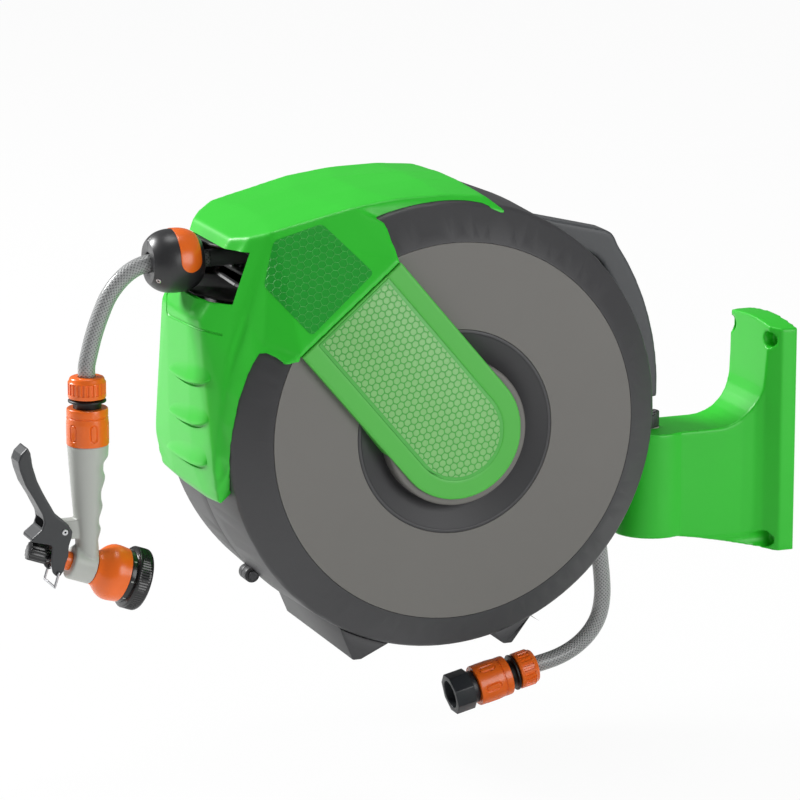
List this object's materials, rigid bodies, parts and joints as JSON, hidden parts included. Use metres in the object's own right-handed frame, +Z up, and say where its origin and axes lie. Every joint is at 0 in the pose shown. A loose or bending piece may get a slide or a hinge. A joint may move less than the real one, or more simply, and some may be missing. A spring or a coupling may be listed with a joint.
{
  "type": "wall-mounted garden hose reel",
  "caption": "Wall-mounted garden hose reel: closed drum casing on a swivel bracket, spring rewind, hose guide, stop ball, snap couplings and spray gun.",
  "frame": {"origin": "centre of the four wall bolts on the back plane of the bracket", "axes": "+X out of the bracket's back into the wall, +Y along the drum axis away from the viewer of the picture, +Z up"},
  "size_m": [0.738, 0.2466, 0.5089],
  "materials": {
    "green": "bright green moulded plastic, satin",
    "arm_green": "darker green moulded plastic, satin",
    "inlay_green": "fine patterned green inlay",
    "shell": "dark grey moulded plastic",
    "panel": "warm mid grey panel, fine grain",
    "ring": "light grey moulded ring",
    "dark": "near-black moulded plastic",
    "handle": "dark grey moulded grip",
    "orange": "orange moulded plastic",
    "pale": "pale grey moulded plastic",
    "trigger": "dark grey moulded trigger",
    "steel": "zinc-plated steel",
    "nylon": "natural nylon",
    "hose": "braided soft hose, smoky grey"
  },
  "bodies": {
    "bracket": {"wall_bracket": "green", "pivot_bush": "nylon"},
    "casing": {"near_shell": "shell", "far_shell": "shell", "near_panel": "panel", "far_panel": "panel", "near_hub_ring": "ring", "far_hub_ring": "ring", "front_hood": "green", "near_arm": "arm_green", "far_arm": "arm_green", "near_inlay": "inlay_green", "far_inlay": "inlay_green", "hose_tunnel": "dark", "carry_handle": "handle", "hinge_lug": "shell", "swivel_pin": "steel", "pin_clip": "steel", "feet": "shell", "shell_screws": "steel", "axle": "steel", "axle_nuts": "steel", "feed_pipe": "dark", "inlet_gland": "dark", "spring_arbor": "steel", "mainspring": "steel", "idler_stud": "steel", "guide_rod": "steel", "pawl_stud": "steel", "outlet_hose": "hose", "stop_ball": "dark", "ball_band": "orange", "outlet_nut": "orange", "outlet_core": "dark", "inlet_hose": "hose", "inlet_nut": "orange", "inlet_core": "dark"},
    "drum": {"drum_core": "dark", "near_flange": "dark", "far_flange": "dark", "drum_bushes": "nylon", "wound_hose": "hose", "drum_gear": "nylon"},
    "idler": {"idler_gear": "nylon"},
    "screw": {"traverse_screw": "steel"},
    "guide": {"hose_guide": "orange", "hose_lead": "hose"},
    "pawl": {"ratchet_pawl": "nylon"},
    "upper_roller": {"upper_roller": "dark"},
    "lower_roller": {"lower_roller": "dark"},
    "outlet_collar": {"outlet_sleeve": "orange"},
    "inlet_collar": {"inlet_sleeve": "orange"},
    "adaptor": {"tap_adaptor": "dark"},
    "gun": {"gun_body": "pale", "trigger_pin": "steel"},
    "trigger": {"gun_trigger": "trigger"},
    "valve": {"valve_stem": "steel"},
    "knob": {"flow_knob": "dark"},
    "hold_ring": {"hold_ring": "steel"},
    "dial": {"pattern_dial": "orange"}
  },
  "joints": [
    {"name": "casing_swivel", "type": "hinge", "parent": "bracket", "child": "casing", "pos_m": [-0.125, 0, -0.035], "axis": [0, 0, 1], "range_deg": [-90, 90]},
    {"name": "drum_spin", "type": "hinge", "parent": "casing", "child": "drum", "pos_m": [-0.367, 0, 0.055], "axis": [0, 1, 0], "continuous": true},
    {"name": "idler_spin", "type": "hinge", "parent": "casing", "child": "idler", "pos_m": [-0.43732, -0.084, 0.12057], "axis": [0, 1, 0], "continuous": true},
    {"name": "screw_spin", "type": "hinge", "parent": "casing", "child": "screw", "pos_m": [-0.50033, 0, 0.17933], "axis": [0, 1, 0], "continuous": true},
    {"name": "guide_slide", "type": "slide", "parent": "casing", "child": "guide", "axis": [0, 1, 0], "range_m": [-0.05, 0.05]},
    {"name": "pawl_swing", "type": "hinge", "parent": "casing", "child": "pawl", "pos_m": [-0.307, 0.082, 0.117], "axis": [0, 1, 0], "range_deg": [-25, 0], "stiffness_Nm_per_rad": 0.02, "springref_deg": 5.73},
    {"name": "upper_roller_spin", "type": "hinge", "parent": "casing", "child": "upper_roller", "pos_m": [-0.532, 0, 0.2151], "axis": [0, 1, 0], "continuous": true},
    {"name": "lower_roller_spin", "type": "hinge", "parent": "casing", "child": "lower_roller", "pos_m": [-0.532, 0, 0.1929], "axis": [0, 1, 0], "continuous": true},
    {"name": "outlet_collar_slide", "type": "slide", "parent": "casing", "child": "outlet_collar", "axis": [0, 0, 1], "range_m": [0, 0.004], "stiffness_N_per_m": 600, "springref_m": -0.002},
    {"name": "inlet_collar_slide", "type": "slide", "parent": "casing", "child": "inlet_collar", "axis": [0.9744, 0, 0.225], "range_m": [0, 0.004], "stiffness_N_per_m": 600, "springref_m": -0.002},
    {"name": "adaptor_turn", "type": "hinge", "parent": "casing", "child": "adaptor", "pos_m": [-0.30922, 0, -0.22079], "axis": [-0.9744, 0, -0.225], "continuous": true},
    {"name": "gun_turn", "type": "hinge", "parent": "casing", "child": "gun", "pos_m": [-0.6705, 0, 0.065], "axis": [0, 0, 1], "range_deg": [-120, 120]},
    {"name": "trigger_pull", "type": "hinge", "parent": "gun", "child": "trigger", "pos_m": [-0.697, 0, -0.03], "axis": [0, 1, 0], "range_deg": [0, 12], "stiffness_Nm_per_rad": 1.5, "springref_deg": -5.73},
    {"name": "valve_slide", "type": "slide", "parent": "gun", "child": "valve", "axis": [-0.9397, 0, 0.342], "range_m": [0, 0.0063]},
    {"name": "knob_turn", "type": "hinge", "parent": "valve", "child": "knob", "pos_m": [-0.72018, 0, -0.04919], "axis": [0.9397, 0, -0.342], "range_deg": [-180, 180]},
    {"name": "hold_ring_swing", "type": "hinge", "parent": "trigger", "child": "hold_ring", "pos_m": [-0.704, 0, -0.0665], "axis": [0, 1, 0], "range_deg": [-30, 30]},
    {"name": "dial_turn", "type": "hinge", "parent": "gun", "child": "dial", "pos_m": [-0.64971, 0, -0.07484], "axis": [0.9397, 0, -0.342], "continuous": true}
  ],
  "couplings": [
    {"joint": "idler_spin", "follows": "drum_spin", "ratio": -0.33333},
    {"joint": "screw_spin", "follows": "drum_spin", "ratio": 1.7143},
    {"joint": "valve_slide", "follows": "trigger_pull", "m_per_rad": 0.03}
  ]
}
